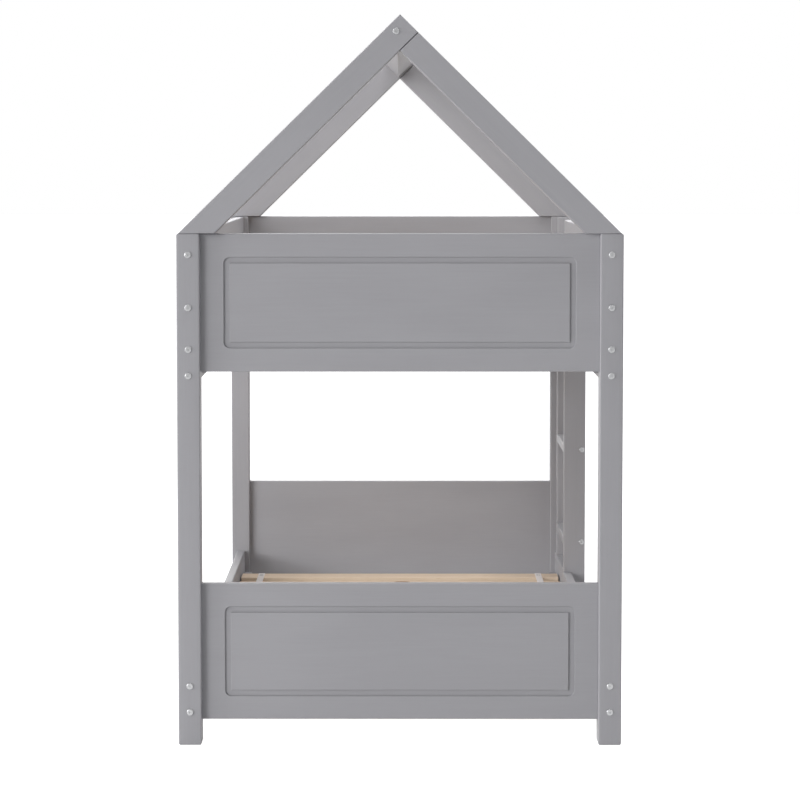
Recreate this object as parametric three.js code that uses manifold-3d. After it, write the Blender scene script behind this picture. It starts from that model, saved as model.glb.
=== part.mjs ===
// House-shaped bunk bed for two single mattresses, in painted timber.
// Millimetres, +Z up. X runs across the bed, Y along it, and the near end is at -Y.
// The origin is on the floor, under the middle of the whole bed with its ladder.

import * as THREE from "three";
import { mergeVertices } from "three/addons/utils/BufferGeometryUtils.js";
import Module from "manifold-3d";

const wasm = await Module();
wasm.setup();

// Mattress bays
const mattressWidth = 990;
const mattressLength = 1905;
const mattressPlay = 8;

// Posts and roof timbers
const postSide = 56;
const postAboveGuard = 2;
const postEasing = 4;
const arris = 3;
const rafterDepth = 62;
const rafterInset = 4;
const roofPitchDegrees = 44.5;
const ridgeSide = 56;
const ridgeSetDown = 6;

// Side rails and the slat decks that hang on them
const railThickness = 25;
const railHeight = 116;
const lowerRailBase = 55;
const bunkSpacing = 706;
const cleatSide = 25;
const cleatEndGap = 30;
const deckDrop = 44;
const slatThickness = 20;
const slatWidth = 75;
const slatEndGap = 5;
const slatToPanel = 232;
const slatCount = 11;
const slatArris = 2;
const strapWidth = 20;
const strapThickness = 1.2;
const strapInset = 60;

// Guard boards beside the upper bunk
const guardHeight = 75;
const guardGap = 53;
const guardAboveRail = 49;

// End panels with a routed groove on their outer faces
const panelThickness = 20;
const panelHeight = 335;
const lowerPanelBase = 60;
const grooveMargin = 57;
const grooveWidth = 15;
const grooveDepth = 4;
const grooveCornerRadius = 15;
const tenonThickness = 10;
const tenonLength = 18;
const tenonShoulder = 40;

// Ladder on the right side, near the far end
const stileWidth = 65;
const stileThickness = 24;
const ladderClearWidth = 306;
const ladderToPost = 61;
const treadThickness = 24;
const firstTreadAboveRail = 93;
const lastTreadBelowRail = 48;
const treadCount = 3;
const treadBoltInset = 11;
const treadPegInset = 16;

// Furniture bolts, the nuts that take them, and wooden pegs
const boltRadius = 3;
const boltHeadRadius = 8;
const boltHeadHeight = 2.4;
const boltHeadEasing = 0.8;
const boltReach = 34;
const railBoltReach = 18;
const socketRadius = 2.4;
const socketDepth = 3;
const nutRadius = 5;
const nutRecess = 1.5;
const nutInset = 28;
const boardBoltMargin = 26;
const ridgeBoltDown = 1;
const ridgeBoltOut = 5;
const pegRadius = 5;
const pegReach = 30;
const pegPitch = 28;
const pegInset = 14;
const smallPegRadius = 4;
const smallPegReach = 12;

// Clearance round a joint, and how far a cutter runs past a face
const fitGap = 0.3;
const overrun = 1;

// Facets of round work. An arc has twice as many as its steps.
const headSides = 12;
const holeSides = 8;
const hexSides = 6;
const arrisSteps = 1;
const cornerSteps = 3;

// Places worked out from the sizes above
const bayWidth = mattressWidth + mattressPlay;
const bayLength = mattressLength + mattressPlay;
const postX = (bayWidth + railThickness) / 2;
const postY = (bayLength + panelThickness) / 2;
const sideFaceX = postX + postSide / 2;
const postInnerX = postX - postSide / 2;
const postInnerY = postY - postSide / 2;
const railLength = 2 * postInnerY;
const panelLength = 2 * postInnerX;
const upperRailBase = lowerRailBase + railHeight + bunkSpacing;
const guardMiddleBase = upperRailBase + railHeight + guardAboveRail;
const guardTopBase = guardMiddleBase + guardHeight + guardGap;
const postHeight = guardTopBase + guardHeight + postAboveGuard;
const upperPanelBase = postHeight - panelHeight;
const firstTreadHeight = lowerRailBase + railHeight + firstTreadAboveRail;
const treadSpan = upperRailBase - lastTreadBelowRail - firstTreadHeight;
const treadRise = treadSpan / (treadCount - 1);
const roofPitch = THREE.MathUtils.degToRad(roofPitchDegrees);
const farStileY = postInnerY - ladderToPost - stileThickness / 2;
const nearStileY = farStileY - ladderClearWidth - stileThickness;
const stileX = bayWidth / 2 + stileWidth / 2;
const stileHeight = guardTopBase + guardHeight;
const stileFaceX = stileX + stileWidth / 2;
const shiftX = -Math.max(stileFaceX + boltHeadHeight - sideFaceX, 0) / 2;

const sides = { left: -1, right: 1 };
const ends = { near: -1, far: 1 };
const railBases = { lower: lowerRailBase, upper: upperRailBase };
const panelBases = { lower: lowerPanelBase, upper: upperPanelBase };
const guardBases = { top: guardTopBase, middle: guardMiddleBase };

const finishes = {
  paint: { color: 0x9c9c9f, roughness: 0.5, metalness: 0 },
  pine: { color: 0xd8b98e, roughness: 0.65, metalness: 0 },
  webbing: { color: 0xe4ddd6, roughness: 0.9, metalness: 0 },
  steel: { color: 0xb9bbbe, roughness: 0.3, metalness: 1 },
};

const bed = new THREE.Group();
bed.position.x = shiftX;

// Solid geometry helpers

function solid(geometry) {
  const bare = geometry.index ? geometry.toNonIndexed() : geometry.clone();
  bare.deleteAttribute("normal");
  bare.deleteAttribute("uv");
  const merged = mergeVertices(bare);
  return new wasm.Manifold(
    new wasm.Mesh({
      numProp: 3,
      vertProperties: merged.attributes.position.array,
      triVerts: new Uint32Array(merged.index.array),
    }),
  );
}

function geometryOf(manifold) {
  const { vertProperties, triVerts } = manifold.getMesh();
  const indexed = new THREE.BufferGeometry();
  indexed.setAttribute("position", new THREE.BufferAttribute(vertProperties, 3));
  indexed.setIndex(new THREE.BufferAttribute(triVerts, 1));
  const flat = indexed.toNonIndexed();
  flat.computeVertexNormals();
  return flat;
}

function add(name, shape, finish, x = 0, y = 0, z = 0) {
  const geometry = shape instanceof THREE.BufferGeometry ? shape : geometryOf(shape);
  const mesh = new THREE.Mesh(geometry, new THREE.MeshStandardMaterial(finish));
  mesh.name = name;
  mesh.position.set(x, y, z);
  bed.add(mesh);
}

function roundedRectangle(width, height, radius) {
  const [w, h] = [width / 2, height / 2];
  const shape = new THREE.Shape();
  shape.moveTo(radius - w, -h);
  shape.lineTo(w - radius, -h);
  shape.absarc(w - radius, radius - h, radius, -Math.PI / 2, 0);
  shape.absarc(w - radius, h - radius, radius, 0, Math.PI / 2);
  shape.absarc(radius - w, h - radius, radius, Math.PI / 2, Math.PI);
  shape.absarc(radius - w, radius - h, radius, Math.PI, 1.5 * Math.PI);
  return shape;
}

// Turns a form that stands along Z so that it lies along the named axis.
function turned(geometry, along) {
  if (along === "x") return geometry.rotateY(Math.PI / 2);
  if (along === "y") return geometry.rotateX(Math.PI / 2);
  return geometry;
}

// A straight timber centred on the origin, its long edges rounded and its ends eased.
function timber(size, along, radius = arris, endEasing = 0) {
  const section = { x: [size.z, size.y], y: [size.x, size.z], z: [size.x, size.y] }[along];
  const length = size[along];
  const form = new THREE.ExtrudeGeometry(roundedRectangle(section[0], section[1], radius), {
    depth: length - 2 * endEasing,
    curveSegments: arrisSteps,
    bevelEnabled: endEasing > 0,
    bevelThickness: endEasing,
    bevelSize: endEasing / 2,
    bevelOffset: -endEasing / 2,
    bevelSegments: 1,
  });
  form.translate(0, 0, endEasing - length / 2);
  return turned(form, along);
}

// A box between any two opposite corners, used as a cutter and for tenons.
function block(corner, opposite) {
  const size = corner.map((value, i) => Math.abs(opposite[i] - value));
  const centre = corner.map((value, i) => (value + opposite[i]) / 2);
  return solid(new THREE.BoxGeometry(...size).translate(...centre));
}

// A round bar or bore between two distances along an axis, through a point.
function bar(radius, from, to, along, at, segments = holeSides) {
  const form = new THREE.CylinderGeometry(radius, radius, to - from, segments);
  form.rotateX(Math.PI / 2).translate(0, 0, (from + to) / 2);
  return solid(pointed(form, along, at));
}

// The radius of a faceted bore that clears a round bar of the given radius.
function boreRadius(radius) {
  return (radius + fitGap) / Math.cos(Math.PI / holeSides);
}

// Aims a form that points up +Z along a direction such as "+x" or "-y", then moves it.
function pointed(geometry, facing, at) {
  const [sign, axis] = facing;
  const flip = sign === "-" ? -1 : 1;
  const axes = { x: [flip, 0, 0], y: [0, flip, 0], z: [0, 0, flip] };
  const aim = new THREE.Quaternion().setFromUnitVectors(
    new THREE.Vector3(0, 0, 1),
    new THREE.Vector3(...axes[axis]),
  );
  return geometry.applyQuaternion(aim).translate(...at);
}

function direction(sign, axis) {
  return (sign < 0 ? "-" : "+") + axis;
}

// A furniture bolt: its head stands on the face it points out of, and its shank runs inward.
function boltSolid(length, facing, at) {
  const profile = [
    [0, 0],
    [boltHeadRadius, 0],
    [boltHeadRadius, boltHeadHeight - boltHeadEasing],
    [boltHeadRadius - boltHeadEasing, boltHeadHeight],
    [0, boltHeadHeight],
  ].map(([r, h]) => new THREE.Vector2(r, h));
  const head = new THREE.LatheGeometry(profile, headSides).rotateX(Math.PI / 2);
  const shank = bar(boltRadius, -length, boltHeadHeight / 2, facing, at);
  return solid(pointed(head, facing, at)).add(shank);
}

// The hexagonal hole for the key, cut into a bolt's head.
function socket(facing, at) {
  const top = boltHeadHeight + overrun;
  return bar(socketRadius, boltHeadHeight - socketDepth, top, facing, at, hexSides);
}

// Fits bolts to a piece. Each bolt's head faces the given direction, at a point on the face.
function withBolts(piece, heads, length) {
  for (const { facing, at } of heads) {
    piece = piece.add(boltSolid(length, facing, at)).subtract(socket(facing, at));
  }
  return piece;
}

// Cuts the bore for a bolt's end, and the recess that shows the nut it screws into.
// The bore opens at a point on the end face and runs inward.
function withNutBore(piece, inward, at, nut) {
  const bore = bar(boreRadius(boltRadius), -overrun, boltReach + fitGap, inward, at);
  const recess = bar(nutRadius, -nutRecess, overrun, nut.facing, nut.at);
  return piece.subtract(bore).subtract(recess);
}

// A wooden peg that stands out of an end face, and the blind hole that takes it. Each is
// aimed along its own way into the wood from a point on the joint.
function smallPeg(inward, at) {
  return bar(smallPegRadius, fitGap - smallPegReach, smallPegReach, inward, at);
}

function smallPegBore(inward, at) {
  return bar(boreRadius(smallPegRadius), -overrun, smallPegReach, inward, at);
}

// Posts

const lowerMortise = lowerPanelBase + tenonShoulder;
const upperMortise = upperPanelBase + tenonShoulder;
const tenonHeight = panelHeight - 2 * tenonShoulder;

// The guard boards stop at the ladder, so the post beyond it carries none.
function hasGuards(side, end) {
  return side < 0 || end < 0;
}

function railBoltHeights(base) {
  return [base + boardBoltMargin, base + railHeight - boardBoltMargin];
}

function postBoltHeights(side, end) {
  const rails = Object.values(railBases).flatMap(railBoltHeights);
  const guards = Object.values(guardBases).map((base) => base + boardBoltMargin);
  return hasGuards(side, end) ? [...rails, ...guards] : rails;
}

// Each guard board has a peg above its bolt, so that it can't turn.
function boardPegHeights() {
  return Object.values(guardBases).map((base) => base + guardHeight - boardBoltMargin);
}

// The pegs under a rafter's foot, as points on the post's top beside its centre.
function footPegs(side) {
  const x = -side * (postSide / 2 - pegInset);
  return [-pegPitch / 2, pegPitch / 2].map((y) => [x, y]);
}

function postShape(side, end) {
  const size = { x: postSide, y: postSide, z: postHeight };
  let post = solid(timber(size, "z", arris, postEasing).translate(0, 0, postHeight / 2));
  const innerX = (-side * postSide) / 2;
  const mortiseFloor = innerX + side * (tenonLength + fitGap);
  const halfThick = tenonThickness / 2 + fitGap;
  for (const base of [lowerMortise, upperMortise]) {
    const mouth = [innerX - side * overrun, -halfThick, base - fitGap];
    post = post.subtract(block(mouth, [mortiseFloor, halfThick, base + tenonHeight + fitGap]));
  }
  for (const [x, y] of footPegs(side)) {
    const at = [x, y, postHeight];
    post = post.subtract(bar(boreRadius(pegRadius), -overrun, pegReach + fitGap, "-z", at));
  }
  if (hasGuards(side, end)) {
    for (const z of boardPegHeights()) {
      const at = [0, (-end * postSide) / 2, z];
      post = post.subtract(smallPegBore(direction(end, "y"), at));
    }
  }
  const heads = postBoltHeights(side, end).map((z) => ({
    facing: direction(end, "y"),
    at: [0, (end * postSide) / 2, z],
  }));
  return withBolts(post, heads, postSide + boltReach);
}

for (const [sideName, side] of Object.entries(sides)) {
  for (const [endName, end] of Object.entries(ends)) {
    const name = "post_" + endName + "_" + sideName;
    add(name, postShape(side, end), finishes.paint, side * postX, end * postY);
  }
}

// End panels

// A ring as deep as the groove: its outer corners are rounded and its inner ones sharp.
function grooveCutter(facing) {
  const outerWidth = panelLength - 2 * grooveMargin;
  const outerHeight = panelHeight - 2 * grooveMargin;
  const depth = grooveDepth + overrun;
  const form = new THREE.ExtrudeGeometry(
    roundedRectangle(outerWidth, outerHeight, grooveCornerRadius),
    { depth, curveSegments: cornerSteps, bevelEnabled: false },
  );
  const y = (facing * (panelThickness + overrun - grooveDepth)) / 2;
  form.rotateX(Math.PI / 2).translate(0, y + depth / 2, 0);
  const [w, h] = [outerWidth / 2 - grooveWidth, outerHeight / 2 - grooveWidth];
  const field = block([-w, y - depth, -h], [w, y + depth, h]);
  return solid(form).subtract(field);
}

function panelShape(end) {
  const size = { x: panelLength, y: panelThickness, z: panelHeight };
  let panel = solid(timber(size, "x")).subtract(grooveCutter(end));
  for (const side of Object.values(sides)) {
    const root = [side * (panelLength / 2 - tenonLength), -tenonThickness / 2, -tenonHeight / 2];
    const tip = [side * (panelLength / 2 + tenonLength), tenonThickness / 2, tenonHeight / 2];
    panel = panel.add(block(root, tip));
  }
  return panel;
}

for (const [endName, end] of Object.entries(ends)) {
  for (const [levelName, base] of Object.entries(panelBases)) {
    const name = "panel_" + endName + "_" + levelName;
    add(name, panelShape(end), finishes.paint, 0, end * postY, base + panelHeight / 2);
  }
}

// Side rails, with the nuts for the post bolts and, on the right, the ladder's bolts

function railShape(side) {
  let rail = solid(timber({ x: railThickness, y: railLength, z: railHeight }, "y"));
  const innerX = (-side * railThickness) / 2;
  for (const end of Object.values(ends)) {
    for (const z of railBoltHeights(-railHeight / 2)) {
      const nut = {
        facing: direction(-side, "x"),
        at: [innerX, end * (railLength / 2 - nutInset), z],
      };
      const at = [0, (end * railLength) / 2, z];
      rail = withNutBore(rail, direction(-end, "y"), at, nut);
    }
  }
  if (side > 0) {
    for (const y of [nearStileY, farStileY]) {
      const reach = railBoltReach + fitGap;
      const at = [railThickness / 2, y, 0];
      rail = rail.subtract(bar(boreRadius(boltRadius), -overrun, reach, "-x", at));
    }
  }
  return rail;
}

for (const [sideName, side] of Object.entries(sides)) {
  for (const [levelName, base] of Object.entries(railBases)) {
    const name = "rail_" + sideName + "_" + levelName;
    add(name, railShape(side), finishes.paint, side * postX, 0, base + railHeight / 2);
  }
}

// Guard boards: the right-hand pair stops at the ladder

function guardShape(side, length) {
  let board = solid(timber({ x: railThickness, y: length, z: guardHeight }, "y"));
  const boltZ = boardBoltMargin - guardHeight / 2;
  for (const end of Object.values(ends)) {
    const inward = direction(-end, "y");
    const nut = {
      facing: direction(-side, "x"),
      at: [(-side * railThickness) / 2, end * (length / 2 - nutInset), boltZ],
    };
    board = withNutBore(board, inward, [0, (end * length) / 2, boltZ], nut);
    if (hasGuards(side, end)) {
      board = board.add(smallPeg(inward, [0, (end * length) / 2, -boltZ]));
    }
  }
  return board;
}

const guardEnds = { left: postInnerY, right: nearStileY - stileThickness / 2 };
for (const [sideName, side] of Object.entries(sides)) {
  for (const [levelName, base] of Object.entries(guardBases)) {
    const length = guardEnds[sideName] + postInnerY;
    const y = (guardEnds[sideName] - postInnerY) / 2;
    const name = "guard_" + sideName + "_" + levelName;
    add(name, guardShape(side, length), finishes.paint, side * postX, y, base + guardHeight / 2);
  }
}

// Slat decks: cleats on the rails' inner faces, slats on the cleats, webbing on the slats

const slatSpan = bayLength - 2 * slatToPanel;
const slatPitch = slatSpan / (slatCount - 1);
const slatLength = bayWidth - 2 * slatEndGap;
for (const [levelName, base] of Object.entries(railBases)) {
  const slatTop = base + railHeight - deckDrop;
  const slatBase = slatTop - slatThickness;
  for (const [sideName, side] of Object.entries(sides)) {
    const cleat = timber({ x: cleatSide, y: railLength - 2 * cleatEndGap, z: cleatSide }, "y");
    const cleatX = side * (bayWidth / 2 - cleatSide / 2);
    const cleatName = "cleat_" + sideName + "_" + levelName;
    add(cleatName, cleat, finishes.paint, cleatX, 0, slatBase - cleatSide / 2);
    const strapSize = { x: strapWidth, y: slatSpan + slatWidth, z: strapThickness };
    const strap = new THREE.BoxGeometry(strapSize.x, strapSize.y, strapSize.z);
    const strapX = side * (slatLength / 2 - strapInset);
    const strapName = "strap_" + sideName + "_" + levelName;
    add(strapName, strap, finishes.webbing, strapX, 0, slatTop + strapThickness / 2);
  }
  for (let i = 0; i < slatCount; i++) {
    const slat = timber({ x: slatLength, y: slatWidth, z: slatThickness }, "x", slatArris);
    const name = "slat_" + levelName + "_" + String(i + 1).padStart(2, "0");
    add(name, slat, finishes.pine, 0, i * slatPitch - slatSpan / 2, slatBase + slatThickness / 2);
  }
}

// Ladder: two stiles notched over the rails, and treads between them

const treadHeights = Array.from({ length: treadCount }, (_, i) => firstTreadHeight + i * treadRise);
const stileOuterX = stileWidth / 2;
const treadBoltX = stileOuterX - treadBoltInset;
const treadPegX = treadPegInset - stileWidth / 2;

function stileShape(end) {
  const size = { x: stileWidth, y: stileThickness, z: stileHeight };
  let stile = solid(timber(size, "z").translate(0, 0, stileHeight / 2));
  const railFace = railThickness + fitGap - stileWidth / 2;
  for (const base of Object.values(railBases)) {
    const low = [-stileWidth / 2 - overrun, -stileThickness, base - fitGap];
    const high = [railFace, stileThickness, base + railHeight + fitGap];
    stile = stile.subtract(block(low, high));
  }
  const innerY = (-end * stileThickness) / 2;
  for (const z of treadHeights) {
    stile = stile.subtract(smallPegBore(direction(end, "y"), [treadPegX, innerY, z]));
  }
  const treadHeads = treadHeights.map((z) => ({
    facing: direction(end, "y"),
    at: [treadBoltX, -innerY, z],
  }));
  const railHeads = Object.values(railBases).map((base) => ({
    facing: "+x",
    at: [stileOuterX, 0, base + railHeight / 2],
  }));
  stile = withBolts(stile, treadHeads, stileThickness + boltReach);
  stile = withBolts(stile, railHeads, stileWidth - railThickness + railBoltReach);
  if (end < 0) {
    const guardHeads = Object.values(guardBases).map((base) => ({
      facing: "+y",
      at: [railThickness / 2 - stileWidth / 2, innerY, base + boardBoltMargin],
    }));
    stile = withBolts(stile, guardHeads, stileThickness + boltReach);
  }
  return stile;
}

function treadShape() {
  let tread = solid(timber({ x: stileWidth, y: ladderClearWidth, z: treadThickness }, "y"));
  for (const end of Object.values(ends)) {
    const face = (end * ladderClearWidth) / 2;
    const inward = direction(-end, "y");
    const reach = boltReach + fitGap;
    const bore = bar(boreRadius(boltRadius), -overrun, reach, inward, [treadBoltX, face, 0]);
    tread = tread.subtract(bore).add(smallPeg(inward, [treadPegX, face, 0]));
  }
  return tread;
}

add("ladder_stile_near", stileShape(ends.near), finishes.paint, stileX, nearStileY);
add("ladder_stile_far", stileShape(ends.far), finishes.paint, stileX, farStileY);
treadHeights.forEach((z, i) => {
  const y = (nearStileY + farStileY) / 2;
  add("ladder_tread_" + (i + 1), treadShape(), finishes.paint, stileX, y, z);
});

// Roof: the left rafter runs through to the apex, the right one butts on it, and the ridge
// beam, turned with its faces along the rafters, joins the two ends.

const slope = new THREE.Vector2(Math.cos(roofPitch), Math.sin(roofPitch));
const outward = new THREE.Vector2(-slope.y, slope.x);
const fall = new THREE.Vector2(slope.x, -slope.y);
const eaves = new THREE.Vector2(rafterInset - sideFaceX, postHeight);
const apex = new THREE.Vector2(0, eaves.y - eaves.x * Math.tan(roofPitch));
const footWidth = rafterDepth / Math.sin(roofPitch);
const lap = Math.sin(2 * roofPitch);
const valley = new THREE.Vector2(0, apex.y - rafterDepth / Math.cos(roofPitch));
const ridgeCentre = apex
  .clone()
  .addScaledVector(outward, -ridgeSide / 2)
  .addScaledVector(slope, -ridgeSide / 2 - ridgeSetDown);
const ridgeBolt = ridgeCentre
  .clone()
  .addScaledVector(slope, -ridgeBoltDown)
  .addScaledVector(outward, ridgeBoltOut);

function rafterOutline(side) {
  const foot = [eaves, new THREE.Vector2(eaves.x + footWidth, eaves.y)];
  if (side < 0) return [...foot, apex.clone().addScaledVector(fall, rafterDepth / lap), apex];
  const [outerFoot, innerFoot] = foot.map((point) => new THREE.Vector2(-point.x, point.y));
  const outerTop = apex.clone().addScaledVector(fall, (rafterDepth + fitGap) / lap);
  const innerTop = valley.clone().addScaledVector(fall, fitGap / lap);
  return [innerFoot, outerFoot, outerTop, innerTop];
}

function rafterShape(side) {
  const form = new THREE.ExtrudeGeometry(new THREE.Shape(rafterOutline(side)), {
    depth: postSide - 2 * arris,
    bevelThickness: arris,
    bevelSize: arris / 2,
    bevelOffset: -arris / 2,
    bevelSegments: 1,
  });
  form.translate(0, 0, arris - postSide / 2).rotateX(Math.PI / 2);
  let rafter = solid(form);
  for (const [x, y] of footPegs(side)) {
    const at = [side * postX + x, y, postHeight];
    rafter = rafter.add(bar(pegRadius, -pegReach, pegReach / 2, "+z", at));
  }
  return rafter;
}

const ridge = timber({ x: ridgeSide, y: railLength, z: ridgeSide }, "y").rotateY(-roofPitch);
let ridgeShape = solid(ridge);
const boltOffset = ridgeBolt.clone().sub(ridgeCentre);
for (const end of Object.values(ends)) {
  const at = [boltOffset.x, (end * railLength) / 2, boltOffset.y];
  const bore = bar(boreRadius(boltRadius), -overrun, boltReach + fitGap, direction(-end, "y"), at);
  ridgeShape = ridgeShape.subtract(bore);
}
add("ridge_beam", ridgeShape, finishes.paint, ridgeCentre.x, 0, ridgeCentre.y);

for (const [endName, end] of Object.entries(ends)) {
  for (const [sideName, side] of Object.entries(sides)) {
    let rafter = rafterShape(side);
    if (side < 0) {
      const at = [ridgeBolt.x, 0, ridgeBolt.y];
      const bore = boreRadius(boltRadius);
      rafter = rafter.subtract(bar(bore, -postSide, postSide, "+y", at));
    }
    add("rafter_" + endName + "_" + sideName, rafter, finishes.paint, 0, end * postY);
  }
  const facing = direction(end, "y");
  const origin = [0, 0, 0];
  const bolt = boltSolid(postSide + boltReach, facing, origin).subtract(socket(facing, origin));
  const headY = end * (postY + postSide / 2);
  add("ridge_bolt_" + endName, bolt, finishes.steel, ridgeBolt.x, headY, ridgeBolt.y);
}

export default bed;
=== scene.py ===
"""House-shaped bunk bed in satin grey paint: materials, fine fittings, webbing, light, camera.

Metres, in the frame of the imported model: +Z up, +Y from the near end to the far end.
"""

import math

import bmesh
import bpy
from mathutils import Matrix, Vector


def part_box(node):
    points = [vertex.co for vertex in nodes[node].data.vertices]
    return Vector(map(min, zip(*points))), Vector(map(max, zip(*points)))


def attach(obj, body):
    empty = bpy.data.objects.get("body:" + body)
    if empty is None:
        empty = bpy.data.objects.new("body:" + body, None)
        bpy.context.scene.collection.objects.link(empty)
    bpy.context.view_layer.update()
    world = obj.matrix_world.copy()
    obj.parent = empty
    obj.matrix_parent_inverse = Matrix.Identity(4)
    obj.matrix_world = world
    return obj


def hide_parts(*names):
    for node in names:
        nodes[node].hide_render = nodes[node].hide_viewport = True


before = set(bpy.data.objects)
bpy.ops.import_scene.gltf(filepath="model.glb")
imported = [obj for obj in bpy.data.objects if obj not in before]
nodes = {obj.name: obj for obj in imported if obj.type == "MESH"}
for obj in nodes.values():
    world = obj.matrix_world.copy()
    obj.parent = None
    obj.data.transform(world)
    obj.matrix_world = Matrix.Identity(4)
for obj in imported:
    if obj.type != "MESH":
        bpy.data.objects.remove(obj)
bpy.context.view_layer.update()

# Fittings, as the timbers carry them
HEAD_HEIGHT = 0.0024
HEAD_RADIUS = 0.008
HEAD_FILLET = 0.0018
FILLET_STEPS = 5
SOCKET_RADIUS = 0.0024
SOCKET_FLOOR = 0.0005
COVER = 0.0002  # how far a visible head lies over the timber's own
NUT_RADIUS = 0.0045
NUT_RECESS = 0.0015
NUT_SLOT = 0.0012
NUT_TOP_SHARE = 0.3  # depths of the nut's top and of its slot's floor, as shares of the recess
NUT_FLOOR_SHARE = 0.85
NUT_INSET = 0.028
BOARD_BOLT_MARGIN = 0.026
TREAD_BOLT_INSET = 0.011
STILE_INNER_REACH = 0.153  # from a tread's middle to a stile's inner face
STILE_THICKNESS = 0.024
SCREW_RADIUS = 0.0036
SCREW_RISE = 0.0009
SCREW_COUNT = 7
SCREW_MARGIN = 0.12
ROOF_PITCH = math.radians(44.5)
ROUND_STEPS = 48

# Webbing and the staples that hold it to the slats
STRAP_THICKNESS = 0.0011
STRAP_STEPS = 160
STRAP_MIDDLE_RISE = 0.66
# A strap's section: place across its width, and height as a share of its thickness
STRAP_SECTION = (
    (0, 0.2), (0.04, 0.85), (0.12, 0.62), (0.5, STRAP_MIDDLE_RISE),
    (0.88, 0.62), (0.96, 0.85), (1, 0.2),
)
STAPLE_CROWN = 0.011
STAPLE_WIRE = 0.00045
STAPLE_SPREAD = 0.018
STAPLE_CORNER = 0.3  # where a staple's bend passes its corner, as a share of the bend

# Camera, as fitted to the photograph's edges
CAMERA_PLACE = (-0.0138, -6.9116, 1.4160)
CAMERA_TILT = math.radians(3.5)
CAMERA_YAW = math.radians(0.11)
CAMERA_LENS = 110.59
CAMERA_SHIFT = (0.0062, -0.1079)
SENSOR_WIDTH = 36

# Suns: name, azimuth leftward from the near end and elevation in degrees, and power
SUN_WIDTH = math.radians(30)
SUNS = (
    ("key", 45, 18, 1.50),
    ("left", 90, 40, 0.15),
    ("right", -90, 38, 0.95),
    ("rear", 170, 25, 0.90),
)

SIDES = {"left": -1, "right": 1}
ENDS = {"near": -1, "far": 1}
LEVELS = ("lower", "upper")


# Node helpers

class Tree:
    """A short way to write a material's nodes."""

    def __init__(self, name):
        self.material = bpy.data.materials.new(name)
        self.material.use_nodes = True
        self.nodes = self.material.node_tree.nodes
        self.links = self.material.node_tree.links
        self.nodes.clear()
        self.output = self.nodes.new("ShaderNodeOutputMaterial")
        self.shader = self.nodes.new("ShaderNodeBsdfPrincipled")
        self.links.new(self.shader.outputs[0], self.output.inputs["Surface"])

    def node(self, kind, inputs=(), **settings):
        made = self.nodes.new("ShaderNode" + kind)
        for key, value in settings.items():
            setattr(made, key, value)
        for key, value in dict(inputs).items():
            self.feed(made.inputs[key], value)
        return made

    def feed(self, socket, value):
        if isinstance(value, bpy.types.NodeSocket):
            self.links.new(value, socket)
        else:
            socket.default_value = value

    def place(self, turn=(0, 0, 0), scale=(1, 1, 1)):
        """The piece's own coordinates in metres, turned and then scaled."""
        where = self.node("TexCoord").outputs["Object"]
        turned = self.node("Mapping", {"Vector": where, "Rotation": turn})
        return self.node("Mapping", {"Vector": turned.outputs[0], "Scale": scale}).outputs[0]

    def noise(self, where, scale, detail=3.0, roughness=0.5, distortion=0.0):
        made = self.node("TexNoise", {
            "Vector": where, "Scale": scale, "Detail": detail,
            "Roughness": roughness, "Distortion": distortion,
        })
        return made.outputs["Fac"]

    def math(self, operation, a, b=0.0):
        return self.node("Math", {0: a, 1: b}, operation=operation).outputs[0]

    def between(self, value, low, high, out_low=0.0, out_high=1.0):
        made = self.node("MapRange", {
            "Value": value, "From Min": low, "From Max": high,
            "To Min": out_low, "To Max": out_high,
        })
        return made.outputs["Result"]

    def mix(self, factor, a, b):
        made = self.node("Mix", data_type="RGBA")
        self.feed(made.inputs["Factor"], factor)
        self.feed(made.inputs["A"], a)
        self.feed(made.inputs["B"], b)
        return made.outputs["Result"]

    def bump(self, height, strength, distance, below=None):
        inputs = {"Height": height, "Strength": strength, "Distance": distance}
        if below is not None:
            inputs["Normal"] = below
        return self.node("Bump", inputs).outputs["Normal"]

    def finish(self, **sockets):
        for name, value in sockets.items():
            self.feed(self.shader.inputs[name.replace("_", " ")], value)
        return self.material


def shade(value, tint=(1.0, 1.0, 1.0)):
    return (value * tint[0], value * tint[1], value * tint[2], 1.0)


# Materials. A timber's paint has its grain along the timber.

PAINT_TINT = (0.995, 0.985, 1.045)
PAINT_DARK, PAINT_LIGHT = 0.322, 0.346
EDGE_SOFTNESS = 0.0022
GRAIN_TURNS = {
    "x": (0, 0, 0),
    "y": (0, 0, -math.pi / 2),
    "z": (0, math.pi / 2, 0),
    "rise": (0, ROOF_PITCH, 0),
    "fall": (0, -ROOF_PITCH, 0),
}


def paint_material(way):
    """Satin water-based paint, rolled over sanded pine whose grain still shows a little."""
    tree = Tree("paint_" + way)
    turn = GRAIN_TURNS[way]
    grain = tree.noise(tree.place(turn, (1.4, 46, 46)), 6.0, 4.0, 0.62, 0.6)
    fibre = tree.noise(tree.place(turn, (9, 420, 420)), 4.0, 2.0)
    cloud = tree.noise(tree.place(turn, (1.1, 4.0, 4.0)), 2.2, 2.0)
    peel = tree.noise(tree.place(turn), 950.0, 1.0)
    tone = tree.math(
        "ADD", tree.math("MULTIPLY", cloud, 0.65), tree.math("MULTIPLY", grain, 0.35)
    )
    colour = tree.mix(
        tree.between(tone, 0.36, 0.64),
        shade(PAINT_DARK, PAINT_TINT),
        shade(PAINT_LIGHT, PAINT_TINT),
    )
    bevel = tree.node("Bevel", {"Radius": EDGE_SOFTNESS}, samples=6)
    relief = tree.bump(grain, 0.16, 0.0006, bevel.outputs["Normal"])
    relief = tree.bump(fibre, 0.10, 0.0002, relief)
    relief = tree.bump(peel, 0.08, 0.00008, relief)
    return tree.finish(
        Base_Color=colour,
        Roughness=tree.between(cloud, 0.3, 0.7, 0.50, 0.58),
        Normal=relief,
    )


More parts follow.
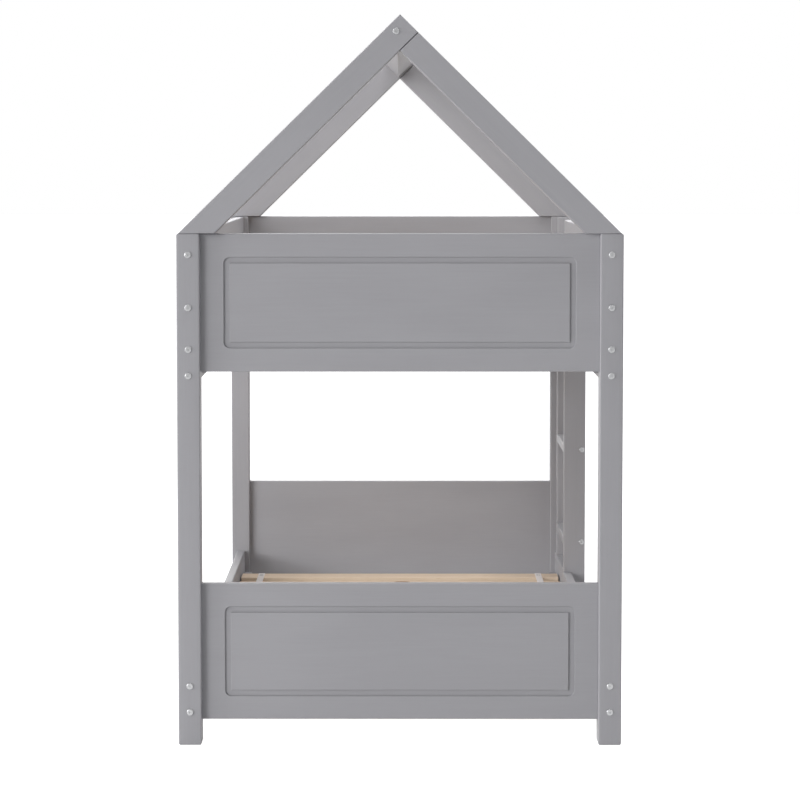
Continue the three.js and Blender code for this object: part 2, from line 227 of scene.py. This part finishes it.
PINE_EARLY = ((0.76, 0.605, 0.46, 1), (0.81, 0.665, 0.525, 1))
PINE_LATE = (0.635, 0.465, 0.31, 1)
PINE_FIBRE = (0.50, 0.36, 0.225, 1)
PINE_KNOT = (0.24, 0.115, 0.05, 1)


def pine_material():
    """Sanded pine boards that lie along X, each cut from another part of the log."""
    tree = Tree("pine")
    rings = tree.noise(tree.place(scale=(0.55, 13, 30)), 3.4, 3.0, 0.55, 1.3)
    bands = tree.math("FRACT", tree.math("MULTIPLY", rings, 13.0))
    late = tree.between(bands, 0.55, 0.96)
    fibre = tree.noise(tree.place(scale=(7, 380, 380)), 3.0, 3.0, 0.7)
    board = tree.noise(tree.place(scale=(0.05, 7.1, 3)), 1.0, 0.0)
    knots = tree.node("TexVoronoi", {"Vector": tree.place(scale=(3.1, 6.7, 9)), "Scale": 1.0})
    knot = tree.between(knots.outputs["Distance"], 0.055, 0.085, 1.0, 0.0)
    early = tree.mix(tree.between(board, 0.35, 0.65), *PINE_EARLY)
    ringed = tree.mix(tree.math("MULTIPLY", late, 0.5), early, PINE_LATE)
    fibred = tree.mix(tree.between(fibre, 0.3, 0.8, 0.0, 0.22), ringed, PINE_FIBRE)
    colour = tree.mix(knot, fibred, PINE_KNOT)
    relief = tree.bump(late, 0.12, 0.0003)
    relief = tree.bump(fibre, 0.35, 0.0003, relief)
    return tree.finish(
        Base_Color=colour,
        Roughness=tree.between(fibre, 0.2, 0.8, 0.56, 0.72),
        Normal=relief,
    )


# The tape's thread colour, and a darker tone painted into the weave's hollows as painted shade
WEBBING_DARK = (0.79, 0.74, 0.73, 1)
WEBBING_LIGHT = (0.86, 0.825, 0.815, 1)


def webbing_material():
    """Off-white woven tape: ribs across it, and a warp along it, with painted shade in the
    weave's hollows.
    """
    tree = Tree("webbing")
    where = tree.place()
    ribs = tree.node(
        "TexWave", {"Vector": where, "Scale": 210.0, "Distortion": 0.25},
        bands_direction="Y", wave_profile="SIN",
    ).outputs["Fac"]
    warp = tree.node(
        "TexWave", {"Vector": where, "Scale": 330.0, "Distortion": 0.2},
        bands_direction="X", wave_profile="SIN",
    ).outputs["Fac"]
    weave = tree.math("MULTIPLY", ribs, warp)
    fuzz = tree.noise(where, 1800.0, 2.0)
    # Where the weave's bump sinks, the colour goes darker: painted shade between the threads
    weave_shaded = tree.mix(weave, WEBBING_DARK, WEBBING_LIGHT)
    colour = tree.mix(tree.math("MULTIPLY", fuzz, 0.3), weave_shaded, WEBBING_LIGHT)
    relief = tree.bump(weave, 0.8, 0.0004)
    relief = tree.bump(fuzz, 0.3, 0.0002, relief)
    return tree.finish(Base_Color=colour, Roughness=0.92, Sheen_Weight=0.25, Normal=relief)


STEEL_DARK = (0.33, 0.334, 0.342, 1)
STEEL_LIGHT = (0.42, 0.423, 0.43, 1)


def steel_material():
    """Grey zinc plate with a fine turned grain and a few handling marks."""
    tree = Tree("steel")
    where = tree.place()
    grit = tree.noise(where, 2600.0, 2.0, 0.6)
    marks = tree.noise(tree.place(scale=(900, 60, 900)), 1.0, 3.0, 0.7)
    colour = tree.mix(tree.between(marks, 0.3, 0.7), STEEL_DARK, STEEL_LIGHT)
    return tree.finish(
        Base_Color=colour,
        Metallic=1.0,
        Roughness=tree.between(grit, 0.25, 0.75, 0.22, 0.36),
        Normal=tree.bump(grit, 0.12, 0.00005),
    )


paints = {way: paint_material(way) for way in GRAIN_TURNS}
pine = pine_material()
webbing = webbing_material()
steel = steel_material()


# The CAD timbers: their own material, and soft shading over the eased edges

MERGE_DISTANCE = 0.00002
GENTLE_ANGLE = math.radians(52)
FACE_WEIGHT = 100


def edge_shading():
    """Geometry nodes that join the facets' corners and shade across the eased edges."""
    group = bpy.data.node_groups.new("edge_shading", "GeometryNodeTree")
    group.interface.new_socket("Geometry", in_out="INPUT", socket_type="NodeSocketGeometry")
    group.interface.new_socket("Geometry", in_out="OUTPUT", socket_type="NodeSocketGeometry")
    add, link = group.nodes.new, group.links.new
    start, end = add("NodeGroupInput"), add("NodeGroupOutput")
    merge = add("GeometryNodeMergeByDistance")
    merge.inputs["Distance"].default_value = MERGE_DISTANCE
    bare = add("GeometryNodeRemoveAttribute")
    bare.inputs["Name"].default_value = "custom_normal"
    faces = add("GeometryNodeSetShadeSmooth")
    faces.domain = "FACE"
    edges = add("GeometryNodeSetShadeSmooth")
    edges.domain = "EDGE"
    angle = add("GeometryNodeInputMeshEdgeAngle")
    gentle = add("FunctionNodeCompare")
    gentle.operation = "LESS_THAN"
    gentle.inputs["B"].default_value = GENTLE_ANGLE
    link(start.outputs[0], bare.inputs["Geometry"])
    link(bare.outputs["Geometry"], merge.inputs["Geometry"])
    link(merge.outputs["Geometry"], faces.inputs["Geometry"])
    link(faces.outputs["Geometry"], edges.inputs["Geometry"])
    link(angle.outputs["Unsigned Angle"], gentle.inputs["A"])
    link(gentle.outputs["Result"], edges.inputs["Shade Smooth"])
    link(edges.outputs["Geometry"], end.inputs[0])
    return group


shading = edge_shading()


def dress(node, material):
    piece = nodes[node]
    piece.data.materials.clear()
    piece.data.materials.append(material)
    modifier = piece.modifiers.new("edge_shading", "NODES")
    modifier.node_group = shading
    weighted = piece.modifiers.new("weighted", "WEIGHTED_NORMAL")
    weighted.keep_sharp = True
    weighted.weight = FACE_WEIGHT


def way_of(node):
    if node.startswith("rafter"):
        return "rise" if node.endswith("left") else "fall"
    size = Vector(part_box(node)[1]) - Vector(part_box(node)[0])
    return max("xyz", key=lambda axis: getattr(size, axis))


for name in nodes:
    if name.startswith("slat"):
        dress(name, pine)
    elif not name.startswith(("strap", "ridge_bolt")):
        dress(name, paints[way_of(name)])


# Small mesh forms

def make_piece(name, mesh_builder, material, smooth_angle=40):
    mesh = bpy.data.meshes.new(name)
    mesh_builder.normal_update()
    mesh_builder.to_mesh(mesh)
    mesh_builder.free()
    mesh.materials.append(material)
    mesh.polygons.foreach_set("use_smooth", [True] * len(mesh.polygons))
    mesh.set_sharp_from_angle(angle=math.radians(smooth_angle))
    piece = bpy.data.objects.new(name, mesh)
    bpy.context.scene.collection.objects.link(piece)
    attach(piece, "root")
    return piece


def facing(direction):
    """Turns a form that points along +Z so that it points along a direction."""
    return Vector(direction).to_track_quat("Z", "Y").to_matrix().to_4x4()


def circle(angle):
    return 1.0


def hexagon(angle):
    """Distance to a hexagon's edge, as a share of the distance to its corners."""
    step = math.pi / 3
    return math.cos(step / 2) / math.cos((angle % step) - step / 2)


def cross(angle):
    """Distance to the edge of a cross recess, as a share of its arm."""
    turn = abs(((angle + math.pi / 4) % (math.pi / 2)) - math.pi / 4)
    return max(0.34, min(1.0, 0.22 / max(math.sin(turn), 0.001)))


def rings_form(into, rings, matrix):
    """Skins a stack of rings, each a (radius, height, outline) triple, and closes its last."""
    loops = []
    for radius, height, outline in rings:
        loop = []
        for i in range(ROUND_STEPS):
            angle = 2 * math.pi * i / ROUND_STEPS
            r = radius * outline(angle)
            point = Vector((r * math.cos(angle), r * math.sin(angle), height))
            loop.append(into.verts.new(matrix @ point))
        loops.append(loop)
    for below, above in zip(loops, loops[1:]):
        for i in range(ROUND_STEPS):
            j = (i + 1) % ROUND_STEPS
            into.faces.new((below[i], below[j], above[j], above[i]))
    into.faces.new(loops[-1])


def bolt_head(into, point, direction):
    """A wide, low furniture-bolt head with a hexagonal socket, over the timber's own."""
    radius, height = HEAD_RADIUS + COVER, HEAD_HEIGHT + COVER
    rings = [(radius, -COVER, circle)]
    for k in range(FILLET_STEPS + 1):
        bend = k / FILLET_STEPS * math.pi / 2
        rings.append((
            radius - HEAD_FILLET * (1 - math.cos(bend)),
            height - HEAD_FILLET * (1 - math.sin(bend)),
            circle,
        ))
    mouth = SOCKET_RADIUS - COVER
    rings += [
        (mouth * 1.5, height, circle),
        (mouth * 1.12, height, hexagon),
        (mouth, height - mouth * 0.12, hexagon),
        (mouth, -SOCKET_FLOOR, hexagon),
        (mouth * 0.3, -SOCKET_FLOOR - COVER / 2, circle),
    ]
    rings_form(into, rings, Matrix.Translation(point) @ facing(direction))


def screw_head(into, point, direction):
    """A low countersunk screw head with a cross recess."""
    rings = [
        (SCREW_RADIUS, 0.0, circle),
        (SCREW_RADIUS, SCREW_RISE * 0.4, circle),
        (SCREW_RADIUS * 0.93, SCREW_RISE * 0.75, circle),
        (SCREW_RADIUS * 0.72, SCREW_RISE, circle),
        (SCREW_RADIUS * 0.6, SCREW_RISE, cross),
        (SCREW_RADIUS * 0.5, SCREW_RISE * 0.15, cross),
    ]
    rings_form(into, rings, Matrix.Translation(point) @ facing(direction))


def barrel_nut(into, point, direction):
    """The slotted end of a barrel nut, down in its recess."""
    matrix = Matrix.Translation(point) @ facing(direction)
    top, floor = -NUT_RECESS * NUT_TOP_SHARE, -NUT_RECESS * NUT_FLOOR_SHARE
    half = NUT_SLOT / 2
    start = math.asin(half / NUT_RADIUS)
    steps = ROUND_STEPS // 2

    def spot(x, y, z):
        return into.verts.new(matrix @ Vector((x, y, z)))

    edges = []
    for side in (1, -1):
        arc = []
        for i in range(steps + 1):
            angle = side * (start + (math.pi - 2 * start) * i / steps)
            arc.append((NUT_RADIUS * math.cos(angle), NUT_RADIUS * math.sin(angle)))
        upper = [spot(x, y, top) for x, y in arc]
        lower = [spot(x, y, -NUT_RECESS) for x, y in arc]
        bed = [spot(arc[0][0], arc[0][1], floor), spot(arc[-1][0], arc[-1][1], floor)]
        into.faces.new(upper if side > 0 else upper[::-1])
        for a, b, c, d in zip(lower, lower[1:], upper[1:], upper):
            into.faces.new((a, b, c, d) if side > 0 else (d, c, b, a))
        wall = (upper[0], upper[-1], bed[1], bed[0])
        into.faces.new(wall if side > 0 else wall[::-1])
        edges.append(bed)
    into.faces.new((edges[1][0], edges[0][0], edges[0][1], edges[1][1]))


def wire(into, path, radius, sides=8):
    """A round wire through a list of points."""
    loops = []
    for i, point in enumerate(path):
        before, after = path[max(i - 1, 0)], path[min(i + 1, len(path) - 1)]
        matrix = Matrix.Translation(point) @ facing(after - before)
        loops.append([
            into.verts.new(matrix @ Vector((
                radius * math.cos(2 * math.pi * k / sides),
                radius * math.sin(2 * math.pi * k / sides),
                0,
            )))
            for k in range(sides)
        ])
    for below, above in zip(loops, loops[1:]):
        for k in range(sides):
            j = (k + 1) % sides
            into.faces.new((below[k], below[j], above[j], above[k]))
    into.faces.new(loops[0][::-1])
    into.faces.new(loops[-1])


def centre(node):
    low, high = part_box(node)
    return (Vector(low) + Vector(high)) / 2


def span(node, axis):
    low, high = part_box(node)
    return low[axis], high[axis]


# Bolt heads on the posts, the ladder's stiles and the roof

def rail_bolt_heights(level):
    low, high = span("rail_left_" + level, 2)
    return [low + BOARD_BOLT_MARGIN, high - BOARD_BOLT_MARGIN]


guard_heights = [
    span("guard_left_" + place, 2)[0] + BOARD_BOLT_MARGIN for place in ("top", "middle")
]
rail_heights = [z for level in LEVELS for z in rail_bolt_heights(level)]
for end_name, end in ENDS.items():
    for side_name, side in SIDES.items():
        post = f"post_{end_name}_{side_name}"
        form = bmesh.new()
        low, high = span(post, 1)
        face = low + HEAD_HEIGHT if end < 0 else high - HEAD_HEIGHT
        beside_ladder = side > 0 and end > 0
        for z in rail_heights if beside_ladder else rail_heights + guard_heights:
            bolt_head(form, (centre("rail_" + side_name + "_lower").x, face, z), (0, end, 0))
        make_piece("bolt_heads_" + post, form, steel)

for end_name, end in ENDS.items():
    stile = "ladder_stile_" + end_name
    form = bmesh.new()
    outer = span(stile, 0)[1] - HEAD_HEIGHT
    inner = centre("ladder_tread_1").y + end * STILE_INNER_REACH
    for i in (1, 2, 3):
        z = centre(f"ladder_tread_{i}").z
        spot = (outer - TREAD_BOLT_INSET, inner + end * STILE_THICKNESS, z)
        bolt_head(form, spot, (0, end, 0))
    for level in LEVELS:
        z = centre("rail_right_" + level).z
        bolt_head(form, (outer, inner + end * STILE_THICKNESS / 2, z), (1, 0, 0))
    if end < 0:
        for z in guard_heights:
            bolt_head(form, (centre("guard_right_top").x, inner, z), (0, 1, 0))
    make_piece("bolt_heads_" + stile, form, steel)

for end_name, end in ENDS.items():
    node = "ridge_bolt_" + end_name
    dress(node, steel)
    form = bmesh.new()
    low, high = span(node, 1)
    face = low + HEAD_HEIGHT if end < 0 else high - HEAD_HEIGHT
    middle = centre(node)
    bolt_head(form, (middle.x, face, middle.z), (0, end, 0))
    make_piece("bolt_head_" + node, form, steel)

# Barrel nuts in the inner faces of the rails and guard boards

for side_name, side in SIDES.items():
    for board, heights in [
        *(("rail_" + side_name + "_" + level, rail_bolt_heights(level)) for level in LEVELS),
        *(("guard_" + side_name + "_" + place, None) for place in ("top", "middle")),
    ]:
        form = bmesh.new()
        low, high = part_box(board)
        rail_low, rail_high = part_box("rail_" + side_name + "_lower")
        inner = rail_high[0] if side < 0 else rail_low[0]
        ends = [rail_low[1], rail_high[1]]
        if board.startswith("guard_right"):
            ends[1] = centre("ladder_stile_near").y - STILE_THICKNESS / 2
        for z in heights or [low[2] + BOARD_BOLT_MARGIN]:
            for y in (ends[0] + NUT_INSET, ends[1] - NUT_INSET):
                barrel_nut(form, (inner, y, z), (-side, 0, 0))
        make_piece("barrel_nuts_" + board, form, steel)

# Screws that hold the cleats to the rails

for level in LEVELS:
    for side_name, side in SIDES.items():
        cleat = f"cleat_{side_name}_{level}"
        form = bmesh.new()
        low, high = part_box(cleat)
        face = high[0] if side < 0 else low[0]
        first, last = low[1] + SCREW_MARGIN, high[1] - SCREW_MARGIN
        for i in range(SCREW_COUNT):
            y = first + (last - first) * i / (SCREW_COUNT - 1)
            screw_head(form, (face, y, centre(cleat).z), (-side, 0, 0))
        make_piece("screws_" + cleat, form, steel)

# Webbing tapes, each stapled to every slat that it crosses

def tape(name, low, high):
    """A woven tape, laid flat, with its two selvedges a little thicker than its middle."""
    form = bmesh.new()
    width = high[0] - low[0]
    rows = []
    for i in range(STRAP_STEPS + 1):
        y = low[1] + (high[1] - low[1]) * i / STRAP_STEPS
        top = [
            form.verts.new((low[0] + width * across, y, low[2] + STRAP_THICKNESS * rise))
            for across, rise in STRAP_SECTION
        ]
        under = [
            form.verts.new((low[0] + width * across, y, low[2]))
            for across, _ in reversed(STRAP_SECTION)
        ]
        rows.append(top + under)
    for a, b in zip(rows, rows[1:]):
        count = len(a)
        for k in range(count):
            j = (k + 1) % count
            form.faces.new((a[k], a[j], b[j], b[k]))
    form.faces.new(rows[0])
    form.faces.new(rows[-1][::-1])
    bmesh.ops.recalc_face_normals(form, faces=form.faces)
    return make_piece(name, form, webbing, 60)


for level in LEVELS:
    slats = sorted(n for n in nodes if n.startswith("slat_" + level))
    for side_name in SIDES:
        node = f"strap_{side_name}_{level}"
        low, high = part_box(node)
        form = bmesh.new()
        x = (low[0] + high[0]) / 2
        crown = low[2] + STRAP_THICKNESS * STRAP_MIDDLE_RISE + STAPLE_WIRE
        half, bend = STAPLE_CROWN / 2, STAPLE_WIRE * 2
        leg = [
            (half, low[2]),
            (half, crown - bend),
            (half - bend * STAPLE_CORNER, crown - bend * STAPLE_CORNER),
            (half - bend, crown),
        ]
        for slat in slats:
            for shift in (-STAPLE_SPREAD / 2, STAPLE_SPREAD / 2):
                y = centre(slat).y + shift
                path = [Vector((x - reach, y, z)) for reach, z in leg]
                path += [Vector((x + reach, y, z)) for reach, z in reversed(leg)]
                wire(form, path, STAPLE_WIRE)
        staples = make_piece("staples_" + node, form, steel)
        band = tape("tape_" + node, low, high)
        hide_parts(node)

# Stage: a pale floor that keeps the shadow, and a white surround

FLOOR_COLOUR = 0.8
FLOOR_GLOW = 0.84
FLOOR_SIZE = 60
WORLD_LIGHT = 0.06


def white_stage(name, diffuse, glow):
    """Diffuse white that also glows, but only as seen by the camera, metal and glass."""
    tree = Tree(name)
    path = tree.node("LightPath")
    seen = tree.math("MAXIMUM", path.outputs["Is Camera Ray"], path.outputs["Is Glossy Ray"])
    seen = tree.math("MAXIMUM", seen, path.outputs["Is Transmission Ray"])
    return tree.finish(
        Base_Color=shade(diffuse),
        Roughness=0.9,
        Specular_IOR_Level=0.0,
        Emission_Color=(1.0, 1.0, 1.0, 1.0),
        Emission_Strength=tree.math("MULTIPLY", seen, glow),
    )


form = bmesh.new()
bmesh.ops.create_grid(form, x_segments=2, y_segments=2, size=FLOOR_SIZE)
floor_mesh = bpy.data.meshes.new("floor")
form.to_mesh(floor_mesh)
form.free()
floor_mesh.materials.append(white_stage("floor_white", FLOOR_COLOUR, FLOOR_GLOW))
floor = bpy.data.objects.new("floor", floor_mesh)
bpy.context.scene.collection.objects.link(floor)

world = bpy.data.worlds.new("studio")
bpy.context.scene.world = world
world.use_nodes = True
sky = world.node_tree
sky.nodes.clear()
path = sky.nodes.new("ShaderNodeLightPath")
mirrored = sky.nodes.new("ShaderNodeMath")
mirrored.operation = "MAXIMUM"
seen = sky.nodes.new("ShaderNodeMath")
seen.operation = "MAXIMUM"
plain = sky.nodes.new("ShaderNodeBackground")
white = sky.nodes.new("ShaderNodeBackground")
choose = sky.nodes.new("ShaderNodeMixShader")
out = sky.nodes.new("ShaderNodeOutputWorld")
plain.inputs["Color"].default_value = (0.96, 0.98, 1.0, 1.0)
plain.inputs["Strength"].default_value = WORLD_LIGHT
white.inputs["Color"].default_value = (1.0, 1.0, 1.0, 1.0)
white.inputs["Strength"].default_value = 1.0
sky.links.new(path.outputs["Is Glossy Ray"], mirrored.inputs[0])
sky.links.new(path.outputs["Is Transmission Ray"], mirrored.inputs[1])
sky.links.new(path.outputs["Is Camera Ray"], seen.inputs[0])
sky.links.new(mirrored.outputs[0], seen.inputs[1])
sky.links.new(seen.outputs[0], choose.inputs["Fac"])
sky.links.new(plain.outputs[0], choose.inputs[1])
sky.links.new(white.outputs[0], choose.inputs[2])
sky.links.new(choose.outputs[0], out.inputs["Surface"])


def add_lamp(name, kind, place, target, power, **settings):
    """A lamp that stands at a place and faces a target."""
    lamp = bpy.data.lights.new(name, kind)
    lamp.energy = power
    for key, value in settings.items():
        setattr(lamp, key, value)
    stand = bpy.data.objects.new(name, lamp)
    stand.location = place
    aim = Vector(target) - Vector(place)
    stand.rotation_euler = aim.to_track_quat("-Z", "Y").to_euler()
    bpy.context.scene.collection.objects.link(stand)


for name, azimuth, elevation, power in SUNS:
    turn, rise = math.radians(azimuth), math.radians(elevation)
    aim = Vector((
        -math.sin(turn) * math.cos(rise), -math.cos(turn) * math.cos(rise), math.sin(rise)
    ))
    add_lamp(name, "SUN", aim, (0, 0, 0), power, angle=SUN_WIDTH)
add_lamp(
    "side", "AREA", (-5.2, -2.0, 1.45), (0, 0, 0.9), 78,
    shape="RECTANGLE", size=2.0, size_y=0.7,
)
add_lamp(
    "low", "AREA", (-4.2, -4.6, 0.45), (0, 0, 0.9), 20,
    shape="RECTANGLE", size=2.0, size_y=0.7,
)
add_lamp(
    "over", "AREA", (0, 0, 4.6), (0, 0, 0.6), 126,
    shape="RECTANGLE", size=3.0, size_y=4.0,
)
add_lamp(
    "rim", "SPOT", (-4.5, -2.0, 0.9), (0.3, -1.1, 0.9), 120,
    spot_size=math.radians(34), spot_blend=0.6, shadow_soft_size=0.25,
)

camera_data = bpy.data.cameras.new("camera")
camera_data.lens = CAMERA_LENS
camera_data.sensor_width = SENSOR_WIDTH
camera_data.shift_x, camera_data.shift_y = CAMERA_SHIFT
camera = bpy.data.objects.new("camera", camera_data)
camera.location = CAMERA_PLACE
camera.rotation_euler = (math.pi / 2 - CAMERA_TILT, 0, CAMERA_YAW)
bpy.context.scene.collection.objects.link(camera)
bpy.context.scene.camera = camera
bpy.context.scene.view_settings.view_transform = "Standard"
